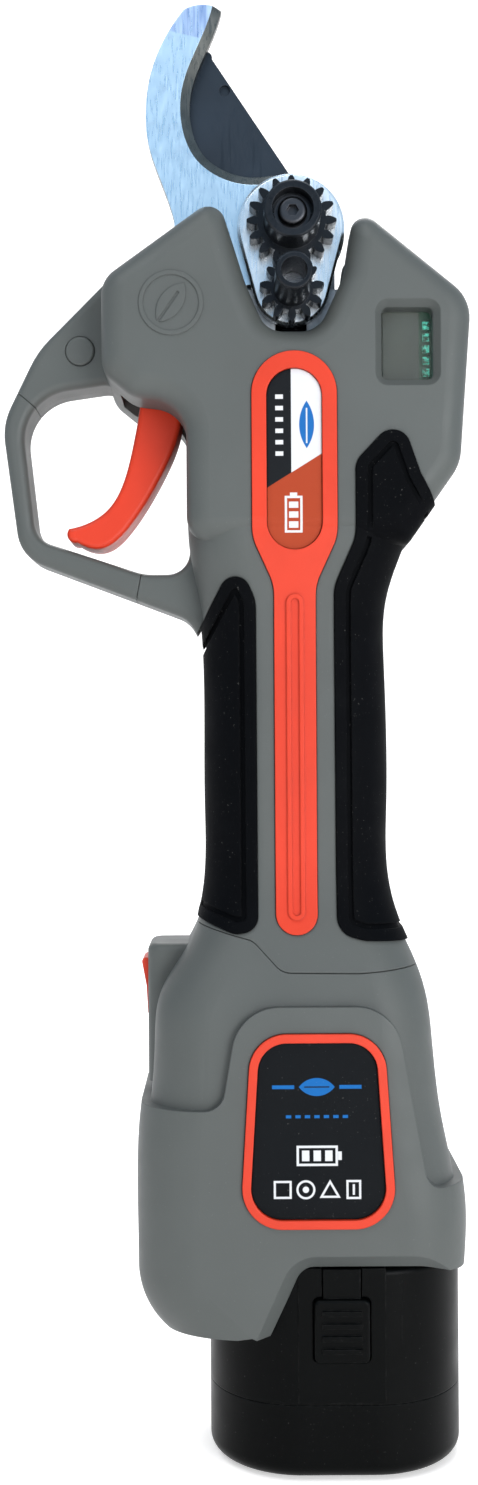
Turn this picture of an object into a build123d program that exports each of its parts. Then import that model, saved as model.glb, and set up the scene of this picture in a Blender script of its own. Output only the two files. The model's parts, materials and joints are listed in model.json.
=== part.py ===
"""Battery electric pruner: gear-driven bypass blades on a pistol-style body with a clip-in battery.

Frame: millimetres, +Z up. The origin is the middle of the battery's flat base, below the handle's axis.
+X points to the palm side, -X to the trigger, and -Y to the gear side. The two shells meet at Y = 0.
"""
from functools import lru_cache
import math
import os

from build123d import *

os.makedirs("parts", exist_ok=True)

# ---------------------------------------------------------------- driving dimensions
WALL = 2.4                  # shell wall
RUNNING = 0.05              # radial clearance of a shaft in its bore

PIVOT_Z = 245.0             # blade pivot height above the base
PRESSURE_ANGLE = math.radians(25)
DRIVE_MODULE = 1.0          # spur pair that turns the blade
DRIVEN_TEETH = 16
DRIVE_TEETH = 11
DRIVE_CENTRES = DRIVE_MODULE * (DRIVEN_TEETH + DRIVE_TEETH) / 2
PINION_Z = PIVOT_Z - DRIVE_CENTRES
BEVEL_MODULE = 0.9          # mitre pair that turns the drive through a right angle
BEVEL_TEETH = 12
BEVEL_PITCH = BEVEL_MODULE * BEVEL_TEETH / 2
PLANET_MODULE = 0.5         # two planetary stages
SUN_TEETH = 12
PLANET_TEETH = 15
RING_TEETH = SUN_TEETH + 2 * PLANET_TEETH
PLANET_ORBIT = PLANET_MODULE * (SUN_TEETH + PLANET_TEETH) / 2
PLANETS = 3

HEAD_DEPTH = 20.0           # half thickness of the head
HEAD_EDGE = 4.5             # rounding of the head's front and rear edges
GUARD_DEPTH = 6.5           # half thickness of the trigger guard
GUARD_EDGE = 1.7

# layers along the blade pivot, front (-Y) to rear
GEAR_FRONT, GEAR_BACK = -12.5, -8.5
PLATE_FRONT, PLATE_BACK = -8.3, -5.8
FIXED_FRONT, FIXED_BACK = -5.75, -2.75
BLADE_FRONT, BLADE_BACK = -2.65, 0.35
FLANGE_BACK = 3.3
ARM_FRONT, ARM_BACK = 3.5, 8.5
HUB_FRONT = -20.2           # end of the driven gear's hub
HUB_FLOOR = -16.6           # bottom of the recess in the hub
BOSS_FRONT = -26.0          # end of the drive pinion's boss
SHAFT_R = 4.0               # blade shaft journal
SPINDLE_R = 2.5             # bevel gear and pinion shafts

# gearbox and motor heights, in the handle
GEARBOX_TOP, GEARBOX_BOTTOM = 213.8, 191.5
GEARBOX_R = 13.5
MOTOR_BOTTOM = 141.0
MOTOR_R = 13.4

# battery
BATTERY_X = 7.6             # middle of the battery's base
CELL_R, CELL_LENGTH = 9.2, 65.0
CELL_PITCH = 18.8
CELL_X = 6.3
SEAM_Z = 14.5               # between the battery's base cap and its case
SHOULDER_Z = 40.8           # top of the battery's visible part
INSERT_TOP = 70.0           # top of the part that plugs into the housing
SKIRT_Z = 28.0              # lowest edge of the housing, beside the battery
CUTOUT_Z = 41.2             # lower edge of the housing over the latch

# outline of handle and lower housing from the top down: height, left edge, right edge, half depth
BODY_SHAPE = [
    (199.0, -21.1, 26.5, 19.9),
    (188.0, -21.0, 24.2, 19.8),
    (180.0, -20.6, 21.2, 19.2),
    (170.0, -18.6, 18.0, 17.6),
    (158.0, -17.5, 17.6, 16.8),
    (130.0, -17.4, 18.0, 16.6),
    (113.0, -17.8, 18.5, 17.0),
    (105.5, -19.6, 20.6, 18.6),
    (99.0, -23.0, 23.4, 20.8),
    (92.0, -27.0, 25.6, 22.6),
    (84.0, -28.0, 26.6, 23.4),
    (76.0, -28.4, 27.3, 23.6),
    (68.0, -29.3, 28.4, 23.8),
    (60.0, -29.7, 30.0, 24.0),
    (50.0, -29.7, 31.2, 24.2),
    (40.0, -29.6, 30.8, 24.2),
]
FOOT_CORNER = 14.7          # sweep of the left edge into the foot
FOOT_RIGHT, FOOT_DEPTH = 30.0, 23.7
BODY_CORNER = 10.9          # rounding of the body's four long edges
LARGEST_CORNER = 12.4
PAD_RISE = 1.8              # how far the raised panel stands off the housing


# ---------------------------------------------------------------- drawing helpers
def face_from(edges):
    """A flat face in local x, y whose normal is always +z."""
    face = Face(Wire(edges))
    return -face if face.normal_at().Z < 0 else face


def rounded_polygon(points):
    """A face in local x, y from (x, y, corner radius) points."""
    starts, ends, arcs = [], [], []
    count = len(points)
    for i, (x, y, r) in enumerate(points):
        here = Vector(x, y)
        before = Vector(*points[i - 1][:2]) - here
        after = Vector(*points[(i + 1) % count][:2]) - here
        u, v = before.normalized(), after.normalized()
        if r <= 0:
            starts.append(here)
            ends.append(here)
            arcs.append(None)
            continue
        half = math.radians(u.get_angle(v)) / 2
        bisector = (u + v).normalized()
        cut = r / math.tan(half)
        starts.append(here + u * cut)
        ends.append(here + v * cut)
        arcs.append(here + bisector * (r / math.sin(half) - r))
    edges = []
    for i in range(count):
        if arcs[i] is not None:
            edges.append(Edge.make_three_point_arc(starts[i], arcs[i], ends[i]))
        nxt = starts[(i + 1) % count]
        if (nxt - ends[i]).length > 1e-6:
            edges.append(Edge.make_line(ends[i], nxt))
    return face_from(edges)


def prism(face, y0, y1):
    """Extrudes a face drawn in X and Z so that it fills y0 to y1."""
    return extrude(Plane.XZ.offset(-y1) * face, amount=y1 - y0, dir=(0, -1, 0))


def side_prism(face, x0, x1):
    """Extrudes a face drawn in Y and Z so that it fills x0 to x1."""
    return extrude(Plane.YZ.offset(x0) * face, amount=x1 - x0, dir=(1, 0, 0))


def level_prism(face, z0, z1):
    """Extrudes a face drawn in X and Y so that it fills z0 to z1."""
    return extrude(Plane.XY.offset(z0) * face, amount=z1 - z0, dir=(0, 0, 1))


def block(x0, x1, y0, y1, z0, z1):
    size = (x1 - x0, y1 - y0, z1 - z0)
    return Pos((x0 + x1) / 2, (y0 + y1) / 2, (z0 + z1) / 2) * Box(*size)


def rod_y(x, z, r, y0, y1):
    """A cylinder along Y."""
    return Pos(x, (y0 + y1) / 2, z) * Rot(90, 0, 0) * Cylinder(r, y1 - y0)


def rod_z(x, y, r, z0, z1):
    """A cylinder along Z."""
    return Pos(x, y, (z0 + z1) / 2) * Cylinder(r, z1 - z0)


def rod_x(y, z, r, x0, x1):
    """A cylinder along X."""
    return Pos((x0 + x1) / 2, y, z) * Rot(0, 90, 0) * Cylinder(r, x1 - x0)


def hexagon_y(x, z, flats, y0, y1):
    face = Pos(x, z) * RegularPolygon(flats / 2, 6, major_radius=False)
    return prism(face, y0, y1)


def half(front):
    """Everything in front of the parting plane, or everything behind it."""
    return block(-100, 100, -60, 0, -20, 320) if front else block(-100, 100, 0, 60, -20, 320)


def mirrored(shape, front):
    """Shapes are drawn for the front; the rear one is its mirror image in Y = 0."""
    return shape if front else mirror(shape, Plane.XZ)


def export(name, shape):
    """Writes one node. Loose slivers below a hundredth of a cubic millimetre are dropped."""
    solids = [s for s in shape.solids() if s.volume > 0.01]
    export_step(solids[0] if len(solids) == 1 else Compound(children=solids), f"parts/{name}.step")


# ---------------------------------------------------------------- gear teeth
def involute(angle):
    return math.tan(angle) - angle


def flank_half_angle(r, pitch, teeth, thin):
    """Half a tooth's angle at radius r. thin is the backlash taken off each flank, in mm."""
    base = pitch * math.cos(PRESSURE_ANGLE)
    at_pitch = math.pi / (2 * teeth) - thin / pitch
    roll = math.acos(min(1.0, base / r))
    return at_pitch + involute(PRESSURE_ANGLE) - involute(roll)


def gear_face(module, teeth, tip, root, thin, phase=0.0, internal=False):
    """A spur gear's outline. phase is the angle of one tooth's middle, or of a space on an internal gear."""
    pitch = module * teeth / 2
    base = pitch * math.cos(PRESSURE_ANGLE)
    flank_low = max(root, base + 0.01 * module)
    middle = (flank_low + tip) / 2
    half_low = flank_half_angle(flank_low, pitch, teeth, thin)
    half_mid = flank_half_angle(middle, pitch, teeth, thin)
    half_tip = flank_half_angle(tip, pitch, teeth, thin)
    half_root = half_low if internal else half_low * (0.92 if root < base else 1.0)

    def at(r, a):
        return Vector(r * math.cos(a), r * math.sin(a))

    def arc(*places):
        return Edge.make_three_point_arc(*[at(r, a) for r, a in places])

    edges = []
    for i in range(teeth):
        c = phase + 2 * math.pi * i / teeth
        following = c + 2 * math.pi / teeth
        if root < flank_low:
            edges.append(Edge.make_line(at(root, c - half_root), at(flank_low, c - half_low)))
        edges.append(arc((flank_low, c - half_low), (middle, c - half_mid), (tip, c - half_tip)))
        edges.append(arc((tip, c - half_tip), (tip, c), (tip, c + half_tip)))
        edges.append(arc((tip, c + half_tip), (middle, c + half_mid), (flank_low, c + half_low)))
        if root < flank_low:
            edges.append(Edge.make_line(at(flank_low, c + half_low), at(root, c + half_root)))
        mid = (c + following) / 2
        edges.append(arc((root, c + half_root), (root, mid), (root, following - half_root)))
    return face_from(edges)


def bevel_gear(phase):
    """A mitre gear with its apex at the origin and its axis along +Z, heel at z = BEVEL_PITCH."""
    slope = math.radians(45)
    virtual_teeth = BEVEL_TEETH / math.cos(slope)
    virtual_pitch = BEVEL_PITCH / math.cos(slope)
    back_apex = BEVEL_PITCH / math.cos(slope) ** 2
    thin = 0.07

    def at(r, side, share):
        """A point of the virtual gear's flank, cast from the apex onto the plane z = BEVEL_PITCH."""
        angle = flank_half_angle(r, virtual_pitch, virtual_teeth, thin) / math.cos(slope)
        z = back_apex - r * math.cos(slope)
        flat = BEVEL_PITCH * r * math.sin(slope) / z
        return flat, side * angle * share

    tip = virtual_pitch + 0.95 * BEVEL_MODULE
    low = virtual_pitch * math.cos(PRESSURE_ANGLE) + 0.02
    root = virtual_pitch - 1.2 * BEVEL_MODULE
    root_flat = BEVEL_PITCH * root * math.sin(slope) / (back_apex - root * math.cos(slope))

    def outline(scale):
        points = []
        for i in range(BEVEL_TEETH):
            c = phase + 2 * math.pi * i / BEVEL_TEETH
            low_flat, low_angle = at(low, 1, 1)
            mid_flat, mid_angle = at((low + tip) / 2, 1, 1)
            tip_flat, tip_angle = at(tip, 1, 1)
            tooth = [(root_flat, -low_angle * 0.95), (low_flat, -low_angle)]
            tooth += [(mid_flat, -mid_angle), (tip_flat, -tip_angle)]
            tooth += [(r, -a) for r, a in reversed(tooth)]
            points += [(scale * r * math.cos(c + a), scale * r * math.sin(c + a)) for r, a in tooth]
        wire = Wire.make_polygon([Vector(*p) for p in points], close=True)
        return Plane.XY.offset(BEVEL_PITCH * scale) * Face(wire)

    star = loft([outline(0.5), outline(1.35)], ruled=True)
    toe = 0.68
    blank = [
        (0, toe * BEVEL_PITCH + 0.75),
        (toe * BEVEL_PITCH - 0.85, toe * BEVEL_PITCH + 0.75),
        (toe * BEVEL_PITCH + 0.62, toe * BEVEL_PITCH - 0.62),
        (BEVEL_PITCH + 0.2, BEVEL_PITCH - 1.0),
        (BEVEL_PITCH + 0.2, BEVEL_PITCH - 0.2),
        (BEVEL_PITCH - 1.3, BEVEL_PITCH + 1.3),
        (0, BEVEL_PITCH + 1.3),
    ]
    profile = Plane.XZ * Face(Wire.make_polygon([Vector(*p) for p in blank], close=True))
    teeth = star & revolve(profile, Axis.Z)
    return teeth


# ---------------------------------------------------------------- outer body
def curve(points):
    return Edge.make_spline([Vector(x, z) for x, z in points])


@lru_cache(maxsize=None)
def trunk(grow=0.0):
    """Handle and lower housing as one smooth form, grown or shrunk all round."""
    below = SKIRT_Z - 8.0
    left_points = [Vector(x0 - grow, z) for z, x0, x1, y in BODY_SHAPE]
    left = Edge.make_spline(left_points, tangents=[Vector(0.01, -1), Vector(0, -1)])
    radius = FOOT_CORNER + grow
    middle = left_points[-1] + Vector(radius, 0)
    turn = math.asin((middle.Y - SKIRT_Z) / radius)
    halfway = middle - Vector(radius * math.cos(turn / 2), radius * math.sin(turn / 2))
    toe = middle - Vector(radius * math.cos(turn), radius * math.sin(turn))
    foot = Edge.make_three_point_arc(left_points[-1], halfway, toe)
    tail = Edge.make_line(toe, Vector(toe.X + (toe.Y - below) * math.tan(turn), below))
    right_points = [(x1 + grow, z) for z, x0, x1, y in BODY_SHAPE]
    right = curve(right_points + [(FOOT_RIGHT + grow, SKIRT_Z), (FOOT_RIGHT - 0.6 + grow, below)])
    base = Edge.make_line(tail @ 1, right @ 1)
    top = Edge.make_line(left @ 0, right @ 0)
    outline = face_from([left, foot, tail, base, right, top])
    depths = [(y + grow, z) for z, x0, x1, y in BODY_SHAPE]
    depths += [(FOOT_DEPTH + grow, SKIRT_Z), (FOOT_DEPTH - 0.4 + grow, below)]
    rear = curve(depths)
    front = curve([(-y, z) for y, z in depths])
    side = face_from([rear, Edge.make_line(rear @ 1, front @ 1), front, Edge.make_line(front @ 0, rear @ 0)])
    body = prism(outline, -60, 60) & side_prism(side, -60, 60)
    long_edges = [e for e in body.edges() if e.length > 8 and abs(e.center().X) > 8 and abs(e.center().Y) > 8]
    body = fillet(long_edges, min(BODY_CORNER + grow, LARGEST_CORNER))
    return body & block(-80, 80, -60, 60, SKIRT_Z, 300)


def head_face(front, grow=0.0):
    """The head's outline with its blade notch. The rear notch is shallower."""
    notch = (
        [(10.0, 233.0, 7.0), (4.9, 222.1, 5.5), (-5.2, 222.1, 5.0), (-9.2, 231.5, 8.0)]
        if front
        else [(10.4, 234.0, 5.0), (-10.6, 234.0, 5.0)]
    )
    points = [
        (-14.6, 248.8, 3.4),
        (-37.5, 232.4, 6.0),
        (-37.5, 214.4, 5.6),
        (-31.4, 209.4, 6.0),
        (-21.0, 208.2, 7.0),
        (-21.0, 181.0, 5.0),
        (22.0, 181.0, 1.0),
        (32.6, 196.0, 9.0),
        (34.9, 228.2, 8.0),
        (12.2, 246.8, 2.8),
    ]
    face = rounded_polygon(points + notch)
    return offset(face, grow) if grow else face


@lru_cache(maxsize=None)
def head(front, grow=0.0, edge=HEAD_EDGE):
    """One half of the head, from the parting plane to its face."""
    body = prism(head_face(front, grow), -HEAD_DEPTH - grow, 0)
    if edge:
        rim = body.faces().sort_by(Axis.Y)[0].edges()
        body = fillet(rim, edge + grow)
    return mirrored(body, front)


GUARD_OUTER = [
    (-34.0, 238.2, 0),
    (-51.2, 221.0, 20.0),
    (-58.4, 206.3, 13.0),
    (-54.9, 179.5, 8.0),
    (-21.0, 166.6, 6.0),
    (-14.0, 154.0, 0),
    (-14.0, 238.2, 0),
]
GUARD_OPENING = [
    (-20.7, 208.9, 7.0),
    (-31.2, 210.0, 4.0),
    (-36.6, 214.2, 4.0),
    (-54.9, 211.6, 10.0),
    (-51.7, 183.0, 5.0),
    (-30.0, 175.8, 12.0),
    (-20.7, 175.8, 4.5),
]
BOW_CUT = [                 # the loose bow lies left of these two seams
    (-70.0, 225.0, 0),
    (-47.6, 206.2, 0),
    (-47.6, 190.0, 0),
    (-29.9, 178.5, 0),
    (-32.3, 166.0, 0),
    (-70.0, 160.0, 0),
]


def guard_loop():
    """The whole trigger guard, before it is cut into shell arms and bow."""
    ring = prism(rounded_polygon(GUARD_OUTER) - rounded_polygon(GUARD_OPENING), -GUARD_DEPTH, GUARD_DEPTH)
    faces = ring.faces().sort_by(Axis.Y)
    rim = [e for f in (faces[0], faces[-1]) for e in f.edges() if e.center().X < -22.0]
    return fillet(rim, GUARD_EDGE)


# the seam between the handle shells and the battery housing
SEAM = [
    (-60.0, 107.6, 0),
    (-20.0, 106.4, 14.0),
    (-8.6, 103.4, 4.0),
    (-3.0, 97.4, 4.0),
    (12.0, 97.2, 30.0),
    (60.0, 101.0, 0),
]


def above_seam(gap=0.0):
    """Everything above the seam, or below it by a small gap when gap is negative."""
    points = [(x, z + gap, r) for x, z, r in SEAM]
    return prism(rounded_polygon(points + [(60.0, 320.0, 0), (-60.0, 320.0, 0)]), -60, 60)


# ---------------------------------------------------------------- rubber grips and trims
FINGER_GRIP = [
    (-11.4, 177.5, 3.0),
    (-7.7, 169.5, 8.0),
    (-7.6, 105.3, 3.2),
    (-12.0, 104.6, 3.0),
    (-26.0, 109.8, 0),
    (-26.0, 152.0, 0),
]
PALM_GRIP = [
    (20.4, 205.0, 3.4),
    (11.9, 196.0, 4.0),
    (11.9, 181.5, 8.0),
    (7.7, 172.0, 8.0),
    (7.9, 104.8, 4.0),
    (13.0, 103.3, 6.0),
    (40.0, 101.9, 0),
    (40.0, 178.0, 0),
    (28.4, 186.4, 3.0),
    (24.4, 193.5, 3.0),
]
GRIP_RISE, GRIP_DEPTH = 0.6, 1.4


@lru_cache(maxsize=None)
def body_volume(front, grow=0.0, edge=HEAD_EDGE):
    """Head and trunk together, on one side of the parting plane."""
    return head(front, grow, edge) + (trunk(grow) & half(front))


def trim_outline(grow=0.0):
    """Capsule for the name plate with a tapering tail, symmetric about X = 0."""
    right = [(8.25, 217.4, 8.2), (8.25, 181.5, 9.0), (4.05, 172.4, 9.0), (4.05, 104.4, 4.0)]
    left = [(-x, z, r) for x, z, r in reversed(right)]
    face = rounded_polygon(right + left)
    return offset(face, grow) if grow else face


PLATE = (5.3, 214.0, 179.2)     # half width, top, bottom of the name plate
RIDGE = (0.9, 169.8, 108.0)     # the same for the ridge down the tail
TRIM_DEPTH = 1.15


def capsule(half_width, top, bottom, grow=0.0):
    w = half_width + grow
    height = top - bottom + 2 * grow
    return Pos(0, (top + bottom) / 2) * SlotOverall(height, 2 * w, rotation=90)


PANEL = [                        # lower label, top edge narrower than the bottom
    (14.6, 84.6, 5.5),
    (16.7, 51.1, 6.0),
    (-9.7, 51.1, 6.0),
    (-7.6, 84.6, 5.5),
]
PAD = [                          # raised panel around the label and round the foot
    (-11.4, 91.2, 9.0),
    (-14.8, 71.6, 4.0),
    (-45.0, 71.6, 0),
    (-45.0, 20.0, 0),
    (45.0, 20.0, 0),
    (45.0, 56.4, 0),
    (24.6, 56.4, 3.5),
    (18.4, 91.2, 9.0),
]
WINDOW = (17.1, 27.1, 212.0, 226.1)      # display window: left, right, bottom, top
RATING_RIM = 1.65


def skin(front, above, below):
    """The layer of the body between two offsets of its surface."""
    return body_volume(front, above) - body_volume(front, -below)


# ---------------------------------------------------------------- fasteners
SHELL_SCREWS = [(-31.5, 229.5), (28.0, 205.0), (-17.2, 184.0), (13.0, 116.0), (-12.8, 116.0)]
HOUSING_SCREWS = [(-21.5, 84.0), (21.5, 84.0), (-24.6, 44.0)]
SCREW_R, SCREW_HEAD_R = 1.3, 2.5


def depth_at(z):
    """Half depth of the body near a screw, for its boss and its counterbore."""
    if z > 190:
        return HEAD_DEPTH
    for upper, lower in zip(BODY_SHAPE, BODY_SHAPE[1:]):
        if lower[0] <= z:
            share = (z - lower[0]) / (upper[0] - lower[0])
            return lower[3] + share * (upper[3] - lower[3]) + (PAD_RISE if z < 71 else 0)


def boss(x, z, front):
    reach = depth_at(z) - 1.2
    return rod_y(x, z, 3.3, -reach, 0) if front else rod_y(x, z, 3.3, 0, reach)


def screw_hole(x, z, front):
    reach = depth_at(z)
    if front:
        return rod_y(x, z, SCREW_R, -reach + 5, 1)
    return rod_y(x, z, SCREW_R + 0.1, -1, reach) + rod_y(x, z, SCREW_HEAD_R + 0.3, reach - 5.0, reach + 9)


def shell_screw(x, z):
    reach = depth_at(z)
    seat = reach - 5.0
    shank = rod_y(x, z, SCREW_R, -reach + 6, seat)
    cap = rod_y(x, z, SCREW_HEAD_R, seat, seat + 1.9)
    cross = block(x - 1.5, x + 1.5, seat + 1.0, seat + 3, z - 0.3, z + 0.3)
    cross += block(x - 0.3, x + 0.3, seat + 1.0, seat + 3, z - 1.5, z + 1.5)
    return shank + cap - cross


# ---------------------------------------------------------------- main shells
BAY = [                          # room for the gear case and the blade roots
    (-24.9, 262.0, 0),
    (-24.5, 247.0, 0),
    (-24.5, 234.6, 3.0),
    (-14.2, 226.0, 3.0),
    (-14.2, GEARBOX_TOP - 0.2, 0),
    (14.2, GEARBOX_TOP - 0.2, 0),
    (14.2, 233.0, 0),
    (12.5, 236.0, 0),
    (12.5, 262.0, 0),
]
BAY_FRONT, BAY_BACK = -8.45, 13.2
TRIGGER_PIVOT = (-25.0, 217.8)
TRIGGER_HALF = 5.8
GUARD_SCREW = (-42.5, 220.7)
EMBLEM = (-23.7, 226.9, 6.3)


def cavity(front):
    """Hollow of the main shells, with ribs left standing round the gearbox and motor."""
    hollow = head(front, -WALL, 0) + (trunk(-WALL) & half(front))
    ribs = [(141.5, 143.5), (164.0, 166.0), (187.5, 189.5), (205.0, 207.0)]
    for low, high in ribs:
        hollow -= block(-21, 21, -20, 20, low, high)
    hollow += rod_z(0, 0, GEARBOX_R + 0.15, MOTOR_BOTTOM - 3, GEARBOX_TOP + 3) & half(front)
    return hollow


def window_face(grow=0.0):
    left, right, bottom, top = WINDOW
    face = RectangleRounded(right - left + 2 * grow, top - bottom + 2 * grow, 1.2 + grow)
    return Pos((left + right) / 2, (bottom + top) / 2) * face


def window_sleeve(grow, y0, y1):
    return prism(window_face(grow), y0, y1)


def flared(face, depth):
    """A cut through the front skin whose sides lean outwards."""
    return extrude(Plane.XZ.offset(depth) * face, amount=6.0, dir=(0, -1, 0), taper=-40)


def leaf(length, half_width, y0, y1):
    """Pointed leaf with a cut vein, standing on the origin."""
    tip, tail = Vector(0, length), Vector(0, -length)
    edges = [Edge.make_three_point_arc(tail, Vector(half_width, 0), tip),
             Edge.make_three_point_arc(tip, Vector(-half_width, 0), tail)]
    blade = prism(face_from(edges), y0, y1)
    return blade - block(-0.25, 0.25, -60, y1 - 0.7, -length - 1, length * 0.55)


def shell_bosses(screws, front):
    bosses = boss(*screws[0], front)
    for x, z in screws[1:]:
        bosses += boss(x, z, front)
    return bosses


def main_shell(front):
    outer = body_volume(front)
    arms = guard_loop() - prism(rounded_polygon(BOW_CUT), -60, 60)
    shell = (outer + (arms & half(front))) & above_seam()
    shell -= cavity(front)
    shell += shell_bosses(SHELL_SCREWS, front) & outer
    if front:
        x, z, r = EMBLEM
        shell += rod_y(x, z, r, -HEAD_DEPTH - 0.25, -HEAD_DEPTH + 1) - rod_y(x, z, r - 0.9, -25, -10)
        shell += Pos(x, 0, z) * Rot(0, 35, 0) * leaf(4.6, 2.3, -HEAD_DEPTH - 0.25, -HEAD_DEPTH + 1)
        shell += window_sleeve(1.8, -HEAD_DEPTH + 1, -14.7)
        shell -= window_sleeve(0, -25, -10)
        shell -= flared(window_face(), 18.4)
    for x, z in SHELL_SCREWS:
        shell -= screw_hole(x, z, front)
    x, z = GUARD_SCREW
    shell -= rod_y(x, z, SCREW_R + 0.1, -20, 20)
    shell -= rod_y(x, z, 3.0, -20, -GUARD_DEPTH + 2.6)
    shell -= prism(rounded_polygon(BAY), BAY_FRONT, BAY_BACK)
    pivot_x, pivot_z = TRIGGER_PIVOT
    slot = TRIGGER_HALF + 0.5
    shell -= block(-34.4, -15.0, -slot, slot, 205.5, pivot_z + 11)
    shell -= block(-24.0, -15.0, -slot, slot, 189.0, 212.0)
    shell -= rod_y(pivot_x, pivot_z, 1.5, -HEAD_DEPTH + WALL, HEAD_DEPTH - WALL)
    shell -= (prism(trim_outline(0.1), -60, 60) & half(front)) - body_volume(front, -TRIM_DEPTH - 0.1)
    inner = body_volume(front, -GRIP_DEPTH)
    for points in (FINGER_GRIP, PALM_GRIP):
        region = prism(offset(rounded_polygon(points), 0.1), -60, 60)
        shell -= (region & half(front)) - inner
    return shell


def trim(front):
    strip = skin(front, 0.5, TRIM_DEPTH) & prism(trim_outline(), -60, 60)
    ridge = prism(capsule(*RIDGE, 0.8) - capsule(*RIDGE, -0.1), -60, 60)
    strip += skin(front, 1.0, 0.2) & ridge
    if front:
        strip -= prism(capsule(*PLATE, 0.1), -60, 0)
    return strip


def name_plate():
    return skin(True, -0.1, TRIM_DEPTH) & prism(capsule(*PLATE), -60, 0)


def grip(points, front):
    """Rubber grip half: a base that fills its recess, with a raised border and inner panel."""
    outline = rounded_polygon(points)
    region = prism(outline, -60, 60) & half(front) & above_seam(0.1)
    inner = body_volume(front, -GRIP_DEPTH + 0.05)
    pad = (body_volume(front, GRIP_RISE) & region) - inner
    track = prism(offset(outline, -2.2) - offset(outline, -3.2), -60, 60)
    pad -= track - body_volume(front, -0.1, 2.0)
    for x, z in SHELL_SCREWS:
        if not front:
            pad -= rod_y(x, z, SCREW_HEAD_R + 0.4, 5, 40)
    return pad


def guard_bow():
    return guard_loop() & prism(offset(rounded_polygon(BOW_CUT), -0.12), -60, 60)


def guard_cap():
    """Round plug over the screw that holds the bow's upper arm."""
    x, z = GUARD_SCREW
    cap = rod_y(x, z, 2.9, -GUARD_DEPTH - 0.5, -GUARD_DEPTH + 2.55)
    cap = fillet(cap.edges().sort_by(Axis.Y)[0], 0.45)
    return cap + rod_y(x, z, SCREW_R, -GUARD_DEPTH + 2.55, 5)


def shell_screws():
    return Compound(children=[shell_screw(x, z) for x, z in SHELL_SCREWS + HOUSING_SCREWS])


def display_window():
    return window_sleeve(-0.12, -17.0, -15.8)


def display_board():
    left, right, bottom, top = WINDOW
    board = block(left - 1.6, right + 1.6, -14.4, -13.2, bottom - 1.6, top + 1.6)
    for i in range(5):
        z = bottom + 1.4 + i * 2.3
        board += block(right - 1.7, right - 0.4, -15.4, -14.4, z, z + 1.4)
    board += block(left + 0.4, right - 2.4, -15.5, -14.4, bottom + 0.4, top - 0.4)
    return board


# ---------------------------------------------------------------- lower housing
SWITCH_HINGE = (-26.4, 92.7)
SWITCH_HALF = 4.6
CASE_CORNER, INSERT_CORNER = 18.0, 9.0
INSERT = (-14.0, 26.2, 20.2)          # left, right, half depth
CASE = (-17.5, 32.5, 22.4)
CEILING = (71.6, 74.0)
SOCKET = (0.6, 12.0, 5.4)             # hole for the terminal block: left, right, half depth
CUTOUT = [
    (-7.0, 15.0, 0),
    (-6.2, 27.0, 3.0),
    (0.6, CUTOUT_Z, 4.0),
    (24.0, CUTOUT_Z, 20.0),
    (45.0, CUTOUT_Z - 3.6, 0),
    (45.0, 15.0, 0),
]
FLARE_DEPTH = 22.6                    # the cut-out's edge opens out from this depth to the surface


def plan(bounds, corner, grow, z0, z1):
    left, right, depth = bounds
    face = RectangleRounded(right - left + 2 * grow, 2 * (depth + grow), corner + grow)
    return level_prism(Pos((left + right) / 2, 0) * face, z0, z1)


def switch_box():
    body = block(-29.6, -18, -8.5, 8.5, 74.0, 101.6)
    body = fillet(body.edges().filter_by(Axis.Z).sort_by(Axis.X)[:2], 3.0)
    return fillet(body.faces().sort_by(Axis.Z)[-1].edges().filter_by(Axis.Y), 1.5)


def battery_housing(front):
    outer = (trunk() - above_seam(-0.15)) & half(front)
    pad = trunk(PAD_RISE) & prism(rounded_polygon(PAD), -60, 60) & half(front)
    outer = outer + pad + (switch_box() & half(front))
    shell = outer - (trunk(-WALL) & block(-60, 60, -60, 60, CEILING[1], 120))
    pocket = trunk(-WALL) & block(-60, 60, -60, 60, 31.0, CEILING[0])
    pocket -= plan(INSERT, INSERT_CORNER, 2.4, 20, 80)
    pocket -= plan(CASE, CASE_CORNER, 2.0, 20, 44)
    shell -= pocket
    shell += shell_bosses(HOUSING_SCREWS, front) & outer
    shell -= plan(INSERT, INSERT_CORNER, 0.35, 20, CEILING[0])
    shell -= plan(CASE, CASE_CORNER, 0.35, 20, SHOULDER_Z + 0.4)
    shell -= prism(rounded_polygon(CUTOUT), -60, 60)
    shell -= mirrored(flared(rounded_polygon(CUTOUT), FLARE_DEPTH), front)
    left, right, depth = SOCKET
    shell -= block(left, right, -depth, depth, 70, 80)
    x, z = SWITCH_HINGE
    shell -= block(-40, x + 3.2, -SWITCH_HALF - 0.4, SWITCH_HALF + 0.4, z - 7.2, z + 7.2)
    shell -= rod_y(x, z, 1.25, -SWITCH_HALF - 2.3, SWITCH_HALF + 2.3)
    for screw in HOUSING_SCREWS:
        shell -= screw_hole(*screw, front)
    if front:
        rim = prism(offset(rounded_polygon(PANEL), RATING_RIM + 0.1), -60, 0)
        shell -= rim - trunk(PAD_RISE - 1.1)
    return shell


def label_frame():
    panel = rounded_polygon(PANEL)
    rim = prism(offset(panel, RATING_RIM) - panel, -60, 0)
    return (trunk(PAD_RISE + 0.7) & rim) - trunk(PAD_RISE - 1.05)


def rating_label():
    area = prism(offset(rounded_polygon(PANEL), -0.1), -60, 0)
    return (trunk(PAD_RISE - 0.05) & area) - trunk(PAD_RISE - 1.05)


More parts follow.
